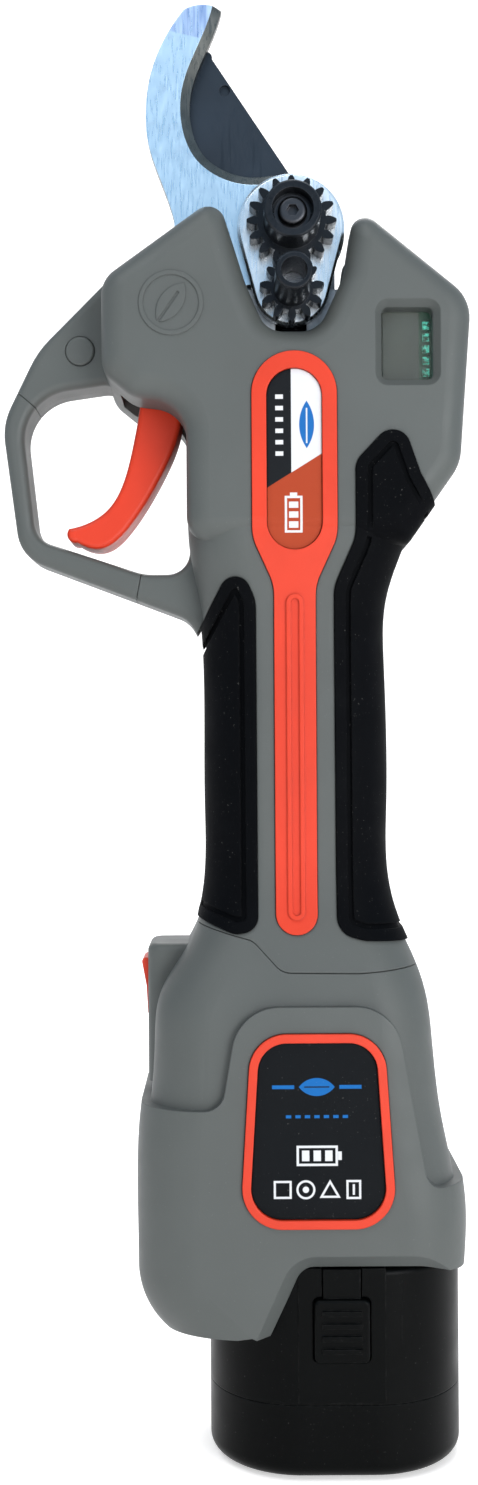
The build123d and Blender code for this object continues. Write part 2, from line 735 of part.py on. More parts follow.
def power_rocker():
    x, z = SWITCH_HINGE
    points = [(-4.7, 6.0, 0.8), (-3.6, 0, 0), (-3.3, -6.0, 0.6), (-0.5, -5.0, 1.0)]
    points += [(1.4, -2.4, 1.0), (1.4, 2.4, 1.0), (-0.5, 5.0, 1.0)]
    face = rounded_polygon([(x + px, z + pz, r) for px, pz, r in points])
    rocker = prism(face, -SWITCH_HALF, SWITCH_HALF)
    return rocker + rod_y(x, z, 1.15, -SWITCH_HALF - 2.0, SWITCH_HALF + 2.0)


# ---------------------------------------------------------------- trigger
def trigger():
    x, z = TRIGGER_PIVOT
    back = [(-30.2, 212.0), (-31.2, 206.0), (-32.3, 200.6), (-34.0, 194.5), (-37.2, 189.0)]
    back += [(-41.2, 186.3), (-45.0, 185.2)]
    nose = [(-45.0, 185.2), (-45.4, 183.6), (-43.4, 182.4)]
    palm = [(-43.4, 182.4), (-36.8, 181.8), (-33.0, 185.3), (-28.8, 191.4), (-25.4, 197.6)]
    palm += [(-22.9, 203.7), (-22.4, 212.0)]
    edges = [
        Edge.make_spline([Vector(*p) for p in back]),
        Edge.make_three_point_arc(*[Vector(*p) for p in nose]),
        Edge.make_spline([Vector(*p) for p in palm]),
        Edge.make_line(Vector(-22.4, 212.0), Vector(-20.9, 217.8)),
        Edge.make_three_point_arc(Vector(-20.9, 217.8), Vector(x, z + 4.1), Vector(-29.1, 217.8)),
        Edge.make_line(Vector(-29.1, 217.8), Vector(-30.2, 212.0)),
    ]
    body = prism(face_from(edges), -TRIGGER_HALF, TRIGGER_HALF)
    rims = [e for f in (body.faces().sort_by(Axis.Y)[0], body.faces().sort_by(Axis.Y)[-1]) for e in f.edges()]
    body = fillet([e for e in rims if e.center().Z < 211.5], 1.0)
    return body - rod_y(x, z, 1.45 + RUNNING, -10, 10)


def trigger_pin():
    x, z = TRIGGER_PIVOT
    return rod_y(x, z, 1.45, -HEAD_DEPTH + WALL + 0.2, HEAD_DEPTH - WALL - 0.2)


def trigger_sensor():
    body = block(-27.6, -21.2, -4.0, 4.0, 223.2, 227.4)
    return body + rod_z(-24.4, 0, 0.9, 222.4, 223.2)


# ---------------------------------------------------------------- gear case and blades
WING = [(-12.0, 222.0, 0), (-23.2, 236.0, 3.0), (-23.2, 246.2, 2.5), (-16.0, 246.2, 2.5), (-10.6, 240.6, 2.0),
        (-10.6, 222.0, 0)]
BLADE_SCREWS = [(-19.6, 242.4), (-14.8, 236.2)]
BEARING_R = 4.6


def gear_case():
    shoe = block(-11.4, 11.4, PLATE_BACK + 0.1, 12.6, 216.0, 233.0)
    shoe = fillet(shoe.edges().filter_by(Axis.Z), 2.5)
    base = rod_z(0, 0, GEARBOX_R, GEARBOX_TOP + 0.1, 217.0)
    arm = prism(make_hull([*Circle(9.4).edges(), *(Pos(0, -14) * Circle(9.4)).edges()]), ARM_FRONT, ARM_BACK)
    arm = Pos(0, 0, PIVOT_Z) * arm
    wing = prism(rounded_polygon(WING), FIXED_BACK + 0.05, ARM_BACK)
    case = shoe + base + arm + wing
    case -= rod_z(0, 0, 6.5, 224.2, 229.6)                                   # bevel pinion
    case -= rod_y(0, PINION_Z, 6.5, 2.7, 7.3)                                # bevel gear
    case -= block(-6.5, 6.5, -10, 3.3, 229.0, 240.0)
    case -= rod_z(0, 0, SPINDLE_R + 0.3, 205, 230)
    case -= rod_z(0, 0, BEARING_R + 0.02, GEARBOX_TOP - 1, 217.6)
    case -= rod_y(0, PINION_Z, SPINDLE_R + 0.3, 2, 12.0)
    case -= rod_y(0, PINION_Z, BEARING_R + 0.02, 8.4, 11.4)
    case -= rod_y(0, PIVOT_Z, 5.22, 0, 20)
    for x, z in BLADE_SCREWS:
        case -= rod_y(x, z, 1.5, -5, 7.0)
    return case


def gear_plate():
    outline = make_hull([*Circle(10.7).edges(), *(Pos(0, -12.1) * Circle(7.6)).edges()])
    plate = Pos(0, 0, PIVOT_Z) * prism(outline, PLATE_FRONT, PLATE_BACK)
    plate = chamfer(plate.faces().sort_by(Axis.Y)[0].edges(), 0.5)
    plate -= rod_y(0, PIVOT_Z, SHAFT_R + RUNNING, -10, 0)
    return plate - rod_y(0, PINION_Z, 3.62, -10, 0)


def bearings():
    """Blade bush, spindle bush and the two 9 mm ball bearings."""
    blade = rod_y(0, PIVOT_Z, 5.2, ARM_FRONT, ARM_BACK) - rod_y(0, PIVOT_Z, SHAFT_R + RUNNING, 0, 20)
    spindle = rod_y(0, PINION_Z, 3.6, PLATE_FRONT, PLATE_BACK)
    spindle -= rod_y(0, PINION_Z, SPINDLE_R + RUNNING, -10, 0)
    rear = rod_y(0, PINION_Z, BEARING_R, 8.45, 11.35) - rod_y(0, PINION_Z, SPINDLE_R + RUNNING, 0, 20)
    lower = rod_z(0, 0, BEARING_R, 214.6, 217.5) - rod_z(0, 0, SPINDLE_R + RUNNING, 210, 220)
    return Compound(children=[blade, spindle, rear, lower])


def fixed_blade():
    outer = [(-23.4, 247.0), (-26.4, 256.0), (-28.6, 263.0), (-29.0, 270.0), (-27.6, 278.0)]
    outer += [(-24.2, 285.4), (-21.2, 289.6)]
    inner = [(-13.7, 289.6), (-17.2, 280.6), (-19.8, 273.5), (-19.8, 266.0), (-17.6, 260.8)]
    inner += [(-13.2, 257.4), (-5.0, 256.2)]
    ring = 10.9
    root = [(-5.0, 256.2), (2.6, PIVOT_Z + 10.6), (ring, PIVOT_Z)]
    edges = [
        Edge.make_spline([Vector(*p) for p in outer]),
        Edge.make_three_point_arc(Vector(-21.2, 289.6), Vector(-17.4, 290.6), Vector(-13.7, 289.6)),
        Edge.make_spline([Vector(*p) for p in inner]),
        Edge.make_spline([Vector(*p) for p in root]),
        Edge.make_three_point_arc(
            Vector(ring, PIVOT_Z), Vector(7.7, PIVOT_Z - 7.7), Vector(0, PIVOT_Z - 10.2)),
        Edge.make_line(Vector(0, PIVOT_Z - 10.2), Vector(-17.4, 233.2)),
        Edge.make_three_point_arc(Vector(-17.4, 233.2), Vector(-22.4, 236.4), Vector(-23.4, 242.0)),
        Edge.make_line(Vector(-23.4, 242.0), Vector(-23.4, 247.0)),
    ]
    blade = prism(face_from(edges), FIXED_FRONT, FIXED_BACK)
    face = blade.faces().sort_by(Axis.Y)[0]
    long_edges = [e for e in face.edges() if e.length > 20 and e.center().Z > 256]
    bevelled = [e for e in long_edges if -23 < e.center().X < -8]
    blade = chamfer(bevelled, 1.9, length2=1.1, reference=face)
    for x, z in BLADE_SCREWS:
        blade -= rod_y(x, z, 1.7, -10, 0)
    return blade - rod_y(0, PIVOT_Z, SHAFT_R + RUNNING, -10, 0)


def blade_screws():
    screws = []
    for x, z in BLADE_SCREWS:
        screw = rod_y(x, z, 1.45, FIXED_FRONT, 6.0) + rod_y(x, z, 2.7, FIXED_FRONT - 1.7, FIXED_FRONT)
        screws.append(screw - hexagon_y(x, z, 2.0, -10, FIXED_FRONT - 0.7))
    return Compound(children=screws)


DRIVE_HEX, BLADE_HEX = 6.4, 9.0       # across flats
GRIND_WIDTH = 2.2                     # ground bevel of the moving blade


def moving_blade():
    """Bypass blade with a straight spine and a curved edge ground on its rear face."""
    heel, toe = Vector(-8.7, 246.4), Vector(-17.8, 281.9)
    spine = (Vector(-15.65, 280.8), Vector(0.15, 257.0))
    cutting = Edge.make_three_point_arc(toe, Vector(-22.4, 265.6), heel)
    edges = [
        cutting,
        Edge.make_three_point_arc(heel, Vector(0, PIVOT_Z - 8.8), Vector(8.7, 246.4)),
        Edge.make_spline([Vector(8.7, 246.4), Vector(6.6, 248.6), spine[1]],
                         tangents=[Vector(-0.16, 1), Vector(-0.553, 0.833)]),
        Edge.make_line(spine[1], spine[0]),
        Edge.make_three_point_arc(spine[0], Vector(-16.3, 282.2), toe),
    ]
    blade = prism(face_from(edges), BLADE_FRONT, BLADE_BACK)
    centre, radius = cutting.arc_center, cutting.radius
    thickness = BLADE_BACK - BLADE_FRONT
    grind = Pos(centre.X, (BLADE_BACK + BLADE_FRONT) / 2, centre.Y) * Rot(90, 0, 0) * Cone(
        radius - GRIND_WIDTH, radius + 0.2, thickness)
    above = block(-60, 60, -10, 10, 252.0, 320)
    blade = (blade - above) + (blade & above & grind)
    blade -= rod_y(-13.1, 274.4, 1.1, -5, BLADE_FRONT + 0.8)
    return blade - hexagon_y(0, PIVOT_Z, BLADE_HEX + 0.06, -5, 5)


def blade_shaft():
    shaft = rod_y(0, PIVOT_Z, SHAFT_R, GEAR_BACK + 0.1, ARM_BACK + 0.2)
    shaft += hexagon_y(0, PIVOT_Z, DRIVE_HEX, HUB_FLOOR + 0.1, GEAR_BACK + 0.1)
    shaft += hexagon_y(0, PIVOT_Z, BLADE_HEX, BLADE_FRONT, BLADE_BACK)
    shaft += rod_y(0, PIVOT_Z, 7.2, BLADE_BACK + 0.02, FLANGE_BACK)
    shaft += rod_y(0, PIVOT_Z, 2.5, ARM_BACK, 13.6)
    return shaft - rod_y(0, PIVOT_Z, 1.3, -20, GEAR_BACK + 4)


def pivot_nut():
    nut = hexagon_y(0, PIVOT_Z, 9.0, ARM_BACK + 0.35, 12.4)
    return nut - rod_y(0, PIVOT_Z, 2.53, 5, 20)


def gear_screw():
    head_back = HUB_FLOOR - 0.6
    screw = rod_y(0, PIVOT_Z, 2.85, head_back - 1.8, head_back)
    screw = fillet(screw.edges().sort_by(Axis.Y)[0], 0.9)
    screw += rod_y(0, PIVOT_Z, 3.6, head_back, HUB_FLOOR - 0.02)
    screw += rod_y(0, PIVOT_Z, 1.25, head_back, GEAR_BACK + 3.5)
    return screw - hexagon_y(0, PIVOT_Z, 2.1, -20, head_back - 0.4)


def driven_gear():
    face = gear_face(DRIVE_MODULE, DRIVEN_TEETH, 8.9, 6.8, 0.045)
    gear = Pos(0, 0, PIVOT_Z) * prism(face, GEAR_FRONT, GEAR_BACK)
    hub = rod_y(0, PIVOT_Z, 5.6, HUB_FRONT, GEAR_FRONT)
    gear += chamfer(hub.edges().sort_by(Axis.Y)[0], 0.35)
    gear -= rod_y(0, PIVOT_Z, 4.05, -30, HUB_FLOOR)
    return gear - hexagon_y(0, PIVOT_Z, DRIVE_HEX + 0.06, -30, 0)


def drive_pinion():
    face = gear_face(DRIVE_MODULE, DRIVE_TEETH, 6.4, 4.25, 0.045, math.pi / 2 + math.pi / DRIVE_TEETH)
    gear = Pos(0, 0, PINION_Z) * prism(face, GEAR_FRONT, GEAR_BACK)
    boss = rod_y(0, PINION_Z, 3.6, BOSS_FRONT, GEAR_FRONT)
    gear += chamfer(boss.edges().sort_by(Axis.Y)[0], 0.3)
    return gear - rod_y(0, PINION_Z, SPINDLE_R + 0.01, -30, 0)


def drive_spindle():
    return rod_y(0, PINION_Z, SPINDLE_R, BOSS_FRONT + 11.0, 11.6)


def bevel_gear_rear():
    gear = Pos(0, 0, PINION_Z) * Rot(-90, 0, 0) * bevel_gear(math.pi / BEVEL_TEETH)
    return gear - rod_y(0, PINION_Z, SPINDLE_R + 0.01, -10, 20)


def bevel_pinion():
    gear = Pos(0, 0, PINION_Z) * Rot(180, 0, 0) * bevel_gear(0)
    return gear - rod_z(0, 0, SPINDLE_R + 0.01, 200, 229)


# ---------------------------------------------------------------- planetary gearbox
STAGE_1 = (193.2, 198.0)             # planet faces of the motor-side stage
STAGE_2 = (200.9, 206.3)
CARRIER_R = 9.6
PIN_R = 1.2


def planet_places():
    return [math.radians(90 + 360 * i / PLANETS) for i in range(PLANETS)]


def ring_gear():
    spaces = gear_face(PLANET_MODULE, RING_TEETH, 11.12, 10.08, -0.03, math.pi / 2, internal=True)
    body = rod_z(0, 0, GEARBOX_R, GEARBOX_BOTTOM, GEARBOX_TOP)
    return body - level_prism(spaces, GEARBOX_BOTTOM - 1, GEARBOX_TOP + 1)


def sun_teeth(z0, z1):
    return level_prism(gear_face(PLANET_MODULE, SUN_TEETH, 3.48, 2.38, 0.035), z0, z1)


def sun_gear():
    return sun_teeth(STAGE_1[0] - 0.4, STAGE_1[1] - 0.2) - rod_z(0, 0, 1.6, 180, 205)


def planet(index, stage):
    angle = planet_places()[index]
    face = gear_face(PLANET_MODULE, PLANET_TEETH, 4.2, 3.12, 0.035, math.radians(18))
    gear = level_prism(face, *stage) - rod_z(0, 0, PIN_R + RUNNING, 180, 215)
    return Pos(PLANET_ORBIT * math.cos(angle), PLANET_ORBIT * math.sin(angle)) * gear


def carrier(stage, plate_top):
    body = rod_z(0, 0, CARRIER_R, stage[1] + 0.3, plate_top)
    for angle in planet_places():
        x, y = PLANET_ORBIT * math.cos(angle), PLANET_ORBIT * math.sin(angle)
        body += rod_z(x, y, PIN_R, stage[0] - 0.2, stage[1] + 0.3)
    return body


def stage1_carrier():
    plate_top = STAGE_2[0] - 0.5
    return carrier(STAGE_1, plate_top) + sun_teeth(plate_top, STAGE_2[1])


def output_carrier():
    body = carrier(STAGE_2, 209.2)
    body += rod_z(0, 0, SPINDLE_R + 1.2, 209.2, 214.0)
    return body + rod_z(0, 0, SPINDLE_R, 209.2, PINION_Z - 3.4)


# ---------------------------------------------------------------- motor
def motor_can():
    can = rod_z(0, 0, MOTOR_R, MOTOR_BOTTOM + 2.5, GEARBOX_BOTTOM - 0.5)
    can -= rod_z(0, 0, MOTOR_R - 1.0, 100, GEARBOX_BOTTOM - 2.3)
    can -= rod_z(0, 0, 1.65, 180, 200)
    for i in range(6):
        angle = math.radians(60 * i)
        can -= rod_z(8.5 * math.cos(angle), 8.5 * math.sin(angle), 1.6, 180, 200)
    return can


def motor_magnets():
    ring = rod_z(0, 0, MOTOR_R - 1.05, 148, 182) - rod_z(0, 0, 10.6, 140, 190)
    return ring - block(-4.5, 4.5, -20, 20, 140, 190)


def motor_end_cap():
    cap = rod_z(0, 0, MOTOR_R, MOTOR_BOTTOM, MOTOR_BOTTOM + 2.45)
    cap += rod_z(0, 0, 4.0, MOTOR_BOTTOM - 2.0, MOTOR_BOTTOM)
    cap -= rod_z(0, 0, 1.65, 130, 150)
    for side in (-1, 1):
        cap += block(side * 7 - 1.5, side * 7 + 1.5, -0.4, 0.4, MOTOR_BOTTOM - 4.0, MOTOR_BOTTOM)
    return cap


def motor_shaft():
    return rod_z(0, 0, 1.59, MOTOR_BOTTOM - 1.0, STAGE_1[1] - 0.3)


def armature():
    core = rod_z(0, 0, 10.2, 150, 180) - rod_z(0, 0, 1.6, 140, 190)
    poles = 5
    for i in range(poles):
        angle = 360 / poles * (i + 0.5)
        slot = Rot(0, 0, angle) * (block(9.0, 12, -0.8, 0.8, 140, 190) + rod_z(6.9, 0, 2.4, 140, 190))
        core -= slot
    pieces = [core]
    for i in range(poles):
        angle = 360 / poles * (i + 0.5)
        pieces.append(Rot(0, 0, angle) * rod_z(6.9, 0, 2.3, 148.5, 181.5))
    pieces.append(rod_z(0, 0, 3.4, 144.2, 148.0) - rod_z(0, 0, 1.6, 140, 190))
    return Compound(children=pieces)


# ---------------------------------------------------------------- electronics
def controller_board():
    board = block(-15.0, 17.0, 6.0, 7.6, 76.0, 100.0)
    heatsink = block(-8.0, 10.0, 7.6, 12.0, 78.0, 90.0)
    for i in range(5):
        heatsink -= block(-6.6 + 3.4 * i, -5.0 + 3.4 * i, 9.2, 13, 70, 95)
    board += heatsink
    board += rod_z(12.5, 2.0, 3.9, 77.0, 90.0)
    for i in range(3):
        x = -12.0 + 7.0 * i
        board += block(x, x + 4.4, 3.6, 6.0, 84.0, 90.0)
    return board


def motor_wires():
    wires = []
    for side in (-1, 1):
        path = Edge.make_spline([
            Vector(4.0 * side, 8.6, 97.0), Vector(5.0 * side, 9.4, 108.0),
            Vector(5.6 * side, 6.0, 122.0), Vector(7.0 * side, 0, MOTOR_BOTTOM - 4.2)])
        wires.append(sweep(Plane(path @ 0, z_dir=path % 0) * Circle(0.9), path=path))
    return Compound(children=wires)


def terminal_block():
    left, right, depth = SOCKET
    body = block(left + 0.2, right - 0.2, -depth + 0.2, depth - 0.2, CEILING[0] + 0.1, 75.6)
    for y in (-2.4, 0, 2.4):
        body -= block(CELL_X - 2.05, CELL_X + 2.05, y - 0.45, y + 0.45, 60, 80)
    return body


def terminal_blades():
    return Compound(children=[
        block(CELL_X - 2.0, CELL_X + 2.0, y - 0.4, y + 0.4, 62.0, 77.5) for y in (-2.4, 0, 2.4)])


# ---------------------------------------------------------------- battery
LATCH_X = 8.0
CASE_PANEL = -22.6                    # flat panel round the latch
CASE_WALL = 1.3


def battery_outer(z0, z1):
    return plan(CASE, CASE_CORNER, 0, z0, z1)


def cell_space(z0, z1):
    return plan(INSERT, INSERT_CORNER, -CASE_WALL, z0, z1)


def latch_pocket(grow, deep):
    """The latch button's recess in the battery face, with the channel for its tongue."""
    button = Pos(LATCH_X, 29.0) * RectangleRounded(10.7 + 2 * grow, 12.2 + 2 * grow, 1.2)
    tongue = Pos(LATCH_X, 38.0) * Rectangle(7.2 + 2 * grow, 6.6)
    return prism(button + tongue, -40, -deep)


def battery_case():
    body = battery_outer(SEAM_Z, SHOULDER_Z)
    body = fillet(body.faces().sort_by(Axis.Z)[-1].edges(), 1.5)
    for front in (True, False):
        panel = block(LATCH_X - 8.4, LATCH_X + 8.4, CASE_PANEL, -17, SEAM_Z + 0.4, SHOULDER_Z)
        body += mirrored(panel, front)
    insert = plan(INSERT, INSERT_CORNER, 0, SHOULDER_Z - 1, INSERT_TOP)
    insert = chamfer(insert.faces().sort_by(Axis.Z)[-1].edges(), 1.0)
    body += insert
    body -= cell_space(SEAM_Z - 1, INSERT_TOP - 1.3)
    for y in (-2.4, 0, 2.4):
        body -= block(CELL_X - 2.4, CELL_X + 2.4, y - 0.8, y + 0.8, 60, 80)
    for front in (True, False):
        body -= mirrored(latch_pocket(0.25, 19.7), front)
        body -= mirrored(block(19.6, 21.2, -30, -21.6, 26, 45), front)
    return body


def battery_base():
    body = battery_outer(0, SEAM_Z - 0.1)
    body = fillet(body.faces().sort_by(Axis.Z)[0].edges(), 3.2)
    return body - cell_space(2.6, SEAM_Z)


def battery_cells():
    cells = []
    for i in (-0.5, 0.5):
        for j in (-0.5, 0.5):
            x, y = CELL_X + i * CELL_PITCH, j * CELL_PITCH
            cells.append(rod_z(x, y, CELL_R, 3.2, 3.2 + CELL_LENGTH))
    return Compound(children=cells)


def latch(front):
    button = prism(Pos(LATCH_X, 29.0) * RectangleRounded(10.7, 12.2, 1.1), -23.9, -21.3)
    button = fillet(button.faces().sort_by(Axis.Y)[0].edges(), 0.6)
    for i in range(4):
        z = 25.4 + 2.4 * i
        button += block(LATCH_X - 3.8, LATCH_X + 3.8, -24.5, -23.0, z - 0.5, z + 0.5)
    tongue = block(LATCH_X - 3.6, LATCH_X + 3.6, -22.9, -21.3, 34.6, SHOULDER_Z - 0.1)
    return mirrored(button + tongue, front)


# ---------------------------------------------------------------- write every node
def main():
    for side, front in (("front", True), ("rear", False)):
        export(f"{side}_shell", main_shell(front))
        export(f"battery_housing_{side}", battery_housing(front))
        export(f"finger_grip_{side}", grip(FINGER_GRIP, front))
        export(f"palm_grip_{side}", grip(PALM_GRIP, front))
        export(f"{side}_trim", trim(front))
        export(f"latch_{side}", latch(front))
    for index, letter in enumerate("abc"):
        export(f"planet_1{letter}", planet(index, STAGE_1))
        export(f"planet_2{letter}", planet(index, STAGE_2))
    nodes = [
        name_plate, guard_bow, guard_cap, shell_screws, display_window, display_board, label_frame,
        rating_label, power_rocker, trigger, trigger_pin, trigger_sensor, gear_case, gear_plate,
        bearings, fixed_blade, blade_screws, moving_blade, blade_shaft, pivot_nut, gear_screw,
        driven_gear, drive_pinion, drive_spindle, bevel_pinion, ring_gear, sun_gear, stage1_carrier,
        output_carrier, motor_can, motor_magnets, motor_end_cap, motor_shaft, armature,
        controller_board, motor_wires, terminal_block, terminal_blades, battery_case, battery_base,
        battery_cells,
    ]
    for node in nodes:
        export(node.__name__, node())
    export("bevel_gear", bevel_gear_rear())


main()
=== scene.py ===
import json
import math
import bmesh
import bpy
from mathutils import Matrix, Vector


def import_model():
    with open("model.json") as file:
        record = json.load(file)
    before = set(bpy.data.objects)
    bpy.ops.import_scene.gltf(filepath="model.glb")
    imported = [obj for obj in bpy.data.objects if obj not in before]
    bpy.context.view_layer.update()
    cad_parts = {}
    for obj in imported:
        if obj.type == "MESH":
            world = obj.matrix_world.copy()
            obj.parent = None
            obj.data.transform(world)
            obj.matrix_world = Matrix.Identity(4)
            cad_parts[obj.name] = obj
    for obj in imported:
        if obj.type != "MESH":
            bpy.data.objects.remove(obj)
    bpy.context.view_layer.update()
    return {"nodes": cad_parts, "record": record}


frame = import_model()
NODES = frame["nodes"]
MM = 0.001

# studio, in metres
FLOOR_Z = -0.0005
FLOOR_FRONT = -2.0
WALL_START = 0.9
SWEEP_RADIUS = 0.6
SWEEP_STEPS = 10
WALL_TOP = 3.0
HALF_WIDTH = 3.0

# camera
CAMERA_PLACE = (-12.03 * MM, -350 * MM, 141.8 * MM)
CAMERA_ANGLE = math.radians(47.0)
CAMERA_ROLL = math.radians(0.36)
CAMERA_SHIFT = 0.0034

# printed faces, in millimetres
SCALE_X = -2.9
CHARGE_X = -0.2
LABEL_X = 3.3
DISPLAY_RIGHT = 24.78
DISPLAY_FOOT = 205.0
BOARD_FACE = -14.6


# ---------------------------------------------------------------- materials
def srgb(r, g, b):
    """Linear colour from 0-255 display values."""
    out = []
    for c in (r, g, b):
        c /= 255
        out.append(c / 12.92 if c <= 0.04045 else ((c + 0.055) / 1.055) ** 2.4)
    return (*out, 1.0)


def scaled(colour, factor, lift=0.0):
    return (*[min(1.0, c * factor + lift) for c in colour[:3]], 1.0)


class Mat:
    """Builds one node material in the frame's coordinates."""

    def __init__(self, name):
        self.mat = bpy.data.materials.new(name)
        self.mat.use_nodes = True
        self.tree = self.mat.node_tree
        self.bsdf = self.tree.nodes["Principled BSDF"]
        self.coord = self.add("ShaderNodeTexCoord").outputs["Object"]

    def add(self, kind, **props):
        node = self.tree.nodes.new(kind)
        for key, value in props.items():
            setattr(node, key, value)
        return node

    def link(self, a, b):
        self.tree.links.new(a, b)

    def feed(self, socket, value):
        if isinstance(value, (tuple, float, int)):
            socket.default_value = value
        else:
            self.link(value, socket)

    def noise(self, scale, detail=3.0, stretch=(1, 1, 1), turn=0.0):
        mapping = self.add("ShaderNodeMapping")
        mapping.inputs["Rotation"].default_value = (0, math.radians(turn), 0)
        mapping.inputs["Scale"].default_value = stretch
        self.link(self.coord, mapping.inputs["Vector"])
        node = self.add("ShaderNodeTexNoise")
        node.inputs["Scale"].default_value = scale
        node.inputs["Detail"].default_value = detail
        self.link(mapping.outputs["Vector"], node.inputs["Vector"])
        return node.outputs["Fac"]

    def ramp(self, value, low, high, out_low=0.0, out_high=1.0):
        node = self.add("ShaderNodeMapRange")
        limits = {"From Min": low, "From Max": high, "To Min": out_low, "To Max": out_high}
        for name, number in limits.items():
            node.inputs[name].default_value = number
        self.link(value, node.inputs["Value"])
        return node.outputs["Result"]

    def mix(self, factor, a, b):
        node = self.add("ShaderNodeMix", data_type="RGBA")
        for index, value in ((0, factor), (6, a), (7, b)):
            self.feed(node.inputs[index], value)
        return node.outputs[2]

    def math(self, operation, a, b=0.0):
        node = self.add("ShaderNodeMath", operation=operation)
        self.feed(node.inputs[0], a)
        self.feed(node.inputs[1], b)
        return node.outputs[0]

    def place(self):
        """The point's X, Y and Z in millimetres."""
        split = self.add("ShaderNodeSeparateXYZ")
        self.link(self.coord, split.inputs[0])
        return [self.math("MULTIPLY", split.outputs[i], 1000.0) for i in range(3)]

    def edges(self, radius):
        """Rounded-edge normal and a mask that is 1 along edges."""
        bevel = self.add("ShaderNodeBevel", samples=4)
        bevel.inputs["Radius"].default_value = radius
        geometry = self.add("ShaderNodeNewGeometry")
        dot = self.add("ShaderNodeVectorMath", operation="DOT_PRODUCT")
        self.link(bevel.outputs["Normal"], dot.inputs[0])
        self.link(geometry.outputs["Normal"], dot.inputs[1])
        return bevel.outputs["Normal"], self.ramp(dot.outputs["Value"], 0.985, 0.85)

    def bump(self, height, strength, distance, normal=None):
        node = self.add("ShaderNodeBump")
        node.inputs["Strength"].default_value = strength
        node.inputs["Distance"].default_value = distance
        self.link(height, node.inputs["Height"])
        if normal is not None:
            self.link(normal, node.inputs["Normal"])
        return node.outputs["Normal"]

    def mottle(self, base, scale, amount):
        """The base colour, cloudy by the given share."""
        cloud = self.ramp(self.noise(scale, 4), 0.3, 0.7)
        return self.mix(cloud, scaled(base, 1 - amount), scaled(base, 1 + amount))


def plastic(name, colour, rough, grain=1800.0, grain_depth=0.03, edge=0.35, wear_and_sheen=0.25, specular=0.5,
            mottling=0.08, dust=0.0, artwork=None, glow=None):
    """Moulded plastic or rubber: cloudy colour, lighter edges (edge wear, and a painted highlight where
    the edge setting is high), hairline scratches, dust and a fine grain.
    """
    m = Mat(name)
    normal, mask = m.edges(edge * MM)
    base = m.mottle(colour, 55, mottling)
    if artwork:
        base = artwork(m, base)
    # Lighter edges: edge wear, and at high settings a painted highlight along ridges.
    edge_wear_and_sheen = m.math("MULTIPLY", mask, m.ramp(m.noise(900, 5), 0.42, 0.62))
    base = m.mix(m.math("MULTIPLY", edge_wear_and_sheen, wear_and_sheen), base, scaled(colour, 1.35, 0.02))
    hairline = m.ramp(m.noise(420, 2, (1, 1, 0.05), 24), 0.71, 0.76)
    base = m.mix(m.math("MULTIPLY", hairline, 0.25 * wear_and_sheen), base, scaled(colour, 1.6, 0.03))
    if dust:
        specks = m.ramp(m.noise(2300, 2), 0.71, 0.76)
        base = m.mix(m.math("MULTIPLY", specks, dust), base, (0.5, 0.5, 0.48, 1))
    m.link(base, m.bsdf.inputs["Base Color"])
    m.link(m.ramp(m.noise(140, 4), 0.25, 0.75, rough - 0.06, rough + 0.08), m.bsdf.inputs["Roughness"])
    m.link(m.bump(m.noise(grain, 2), 0.35, grain_depth * MM, normal), m.bsdf.inputs["Normal"])
    m.bsdf.inputs["Specular IOR Level"].default_value = specular
    if glow:
        glow(m)
    return m.mat


def metal(name, colour, rough, brush=(1, 1, 30), brush_scale=400.0, brush_depth=0.01, edge=0.2, wear_and_sheen=0.3,
          metallic=1.0, blotch=0.1, stain=None, turn=0.0, scratch=0.0, artwork=None):
    """Ground or coated metal: brush lines, blotches, stains, scratches and bright edges."""
    m = Mat(name)
    normal, mask = m.edges(edge * MM)
    base = m.mottle(colour, 90, blotch)
    if stain:
        base = m.mix(m.ramp(m.noise(260, 6), 0.58, 0.75, 0, 0.45), base, stain)
    base = m.mix(m.math("MULTIPLY", mask, wear_and_sheen), base, scaled(colour, 1.3, 0.08))
    lines = m.noise(brush_scale, 3, brush, turn)
    if scratch:
        marks = m.math("MAXIMUM", m.ramp(m.noise(700, 2, (1, 1, 0.04), 35), 0.68, 0.72),
                       m.ramp(m.noise(900, 2, (1, 1, 0.05), -50), 0.69, 0.73))
        base = m.mix(m.math("MULTIPLY", marks, scratch), base, scaled(colour, 0.55))
        lines = m.math("SUBTRACT", lines, m.math("MULTIPLY", marks, 0.6))
    if artwork:
        base = artwork(m, base)
    m.link(base, m.bsdf.inputs["Base Color"])
    m.link(m.ramp(lines, 0.3, 0.7, rough - 0.07, rough + 0.09), m.bsdf.inputs["Roughness"])
    m.link(m.bump(lines, 0.3, brush_depth * MM, normal), m.bsdf.inputs["Normal"])
    m.bsdf.inputs["Metallic"].default_value = metallic
    return m.mat


def blade_zones(m, base):
    """A freshly ground band across the tip, and painted shade on the walls and bevels round the flat
    faces, which turn away from the front.
    """
    x, y, z = m.place()
    height = m.math("ADD", z, m.math("MULTIPLY", m.math("ADD", x, 20.0), 0.25))
    streaks = m.ramp(m.noise(1500, 3, (1, 1, 0.08), 35), 0.35, 0.65)
    ground = m.mix(streaks, srgb(150, 170, 205), srgb(196, 212, 232))
    base = m.mix(m.ramp(height, 284.2, 284.5), base, ground)
    facing = m.add("ShaderNodeSeparateXYZ")
    m.link(m.add("ShaderNodeNewGeometry").outputs["Normal"], facing.inputs[0])
    level = m.math("ABSOLUTE", facing.outputs[1])
    # Painted shade: faces that turn away from the front get a darker grey.
    return m.mix(m.ramp(level, 0.95, 0.90), base, m.mottle(srgb(92, 92, 88), 300, 0.2))


